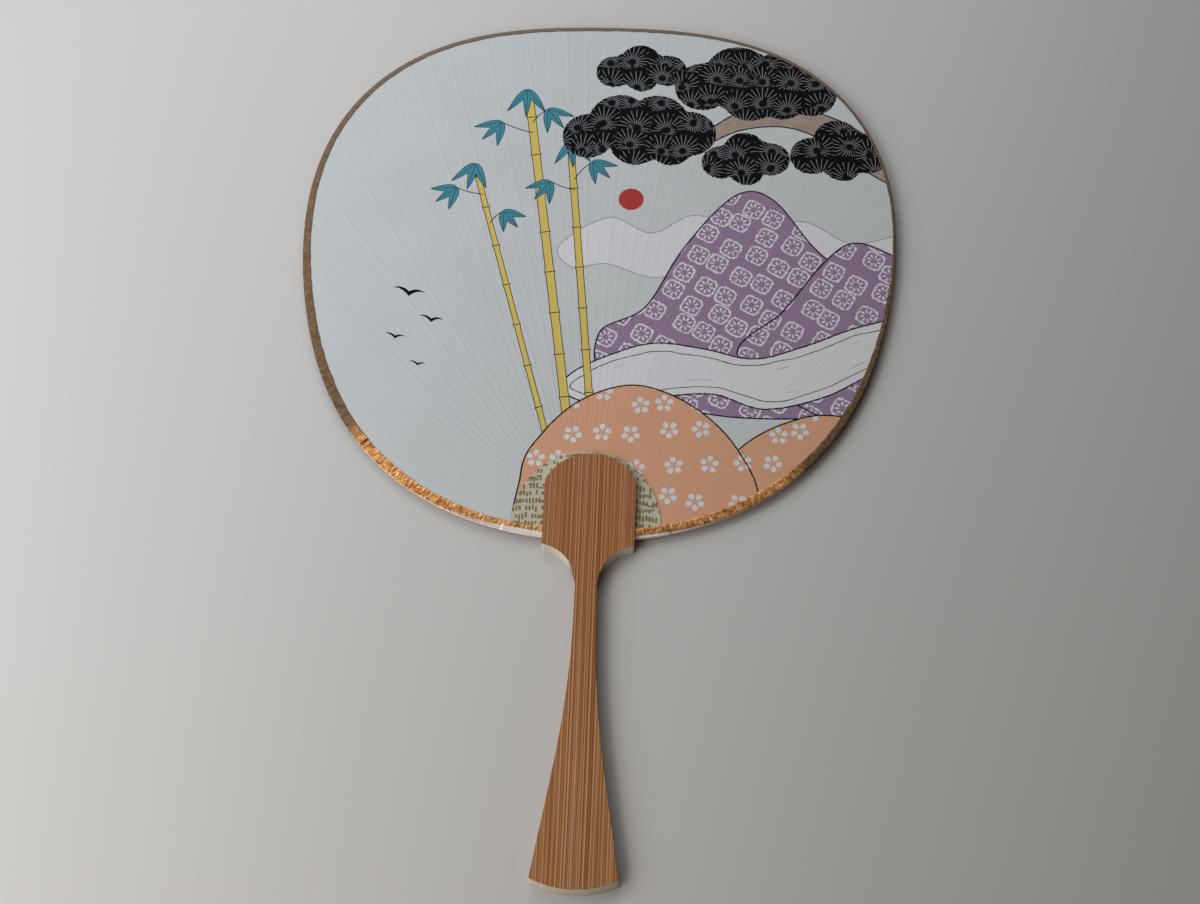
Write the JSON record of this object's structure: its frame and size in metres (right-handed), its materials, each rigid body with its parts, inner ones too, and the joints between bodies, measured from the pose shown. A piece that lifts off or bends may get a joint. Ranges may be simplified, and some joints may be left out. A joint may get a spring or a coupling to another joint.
{
  "type": "round paper hand fan",
  "caption": "Rigid round fan: paper face on fine bamboo ribs with a folded edge strip and base patches, its foot set in the slotted head of a flat waisted bamboo handle.",
  "frame": {"origin": "middle of the line between the tail corners of the handle, on the handle's back face", "axes": "+X across the face to the right seen from the front, +Y from the tail of the handle to the top of the face, +Z out of the front of the face"},
  "size_m": [0.2442, 0.3716, 0.0048],
  "materials": {
    "handle_bamboo": "smoked bamboo, rubbed smooth",
    "rib_bamboo": "split bamboo, raw",
    "front_paper": "mulberry paper, matt",
    "back_paper": "mulberry paper, matt",
    "patch_paper": "patterned paper, matt",
    "edge_paper": "metallic gold paper, soft sheen"
  },
  "bodies": {
    "root": {"handle": "handle_bamboo", "front_paper": "front_paper", "back_paper": "back_paper", "front_base_patch": "patch_paper", "back_base_patch": "patch_paper", "edge_strip_main": "edge_paper", "edge_strip_left": "edge_paper", "edge_strip_base": "edge_paper", "middle_rib": "rib_bamboo", "rib_pair_1": "rib_bamboo", "rib_pair_2": "rib_bamboo", "rib_pair_3": "rib_bamboo", "rib_pair_4": "rib_bamboo", "rib_pair_5": "rib_bamboo", "rib_pair_6": "rib_bamboo", "rib_pair_7": "rib_bamboo", "rib_pair_8": "rib_bamboo", "rib_pair_9": "rib_bamboo", "rib_pair_10": "rib_bamboo", "rib_pair_11": "rib_bamboo", "rib_pair_12": "rib_bamboo", "rib_pair_13": "rib_bamboo", "rib_pair_14": "rib_bamboo", "rib_pair_15": "rib_bamboo", "rib_pair_16": "rib_bamboo", "rib_pair_17": "rib_bamboo", "rib_pair_18": "rib_bamboo", "rib_pair_19": "rib_bamboo", "rib_pair_20": "rib_bamboo", "rib_pair_21": "rib_bamboo", "rib_pair_22": "rib_bamboo", "rib_pair_23": "rib_bamboo", "rib_pair_24": "rib_bamboo", "rib_pair_25": "rib_bamboo", "rib_pair_26": "rib_bamboo", "rib_pair_27": "rib_bamboo", "rib_pair_28": "rib_bamboo", "rib_pair_29": "rib_bamboo", "rib_pair_30": "rib_bamboo", "rib_pair_31": "rib_bamboo", "rib_pair_32": "rib_bamboo"}
  },
  "joints": []
}
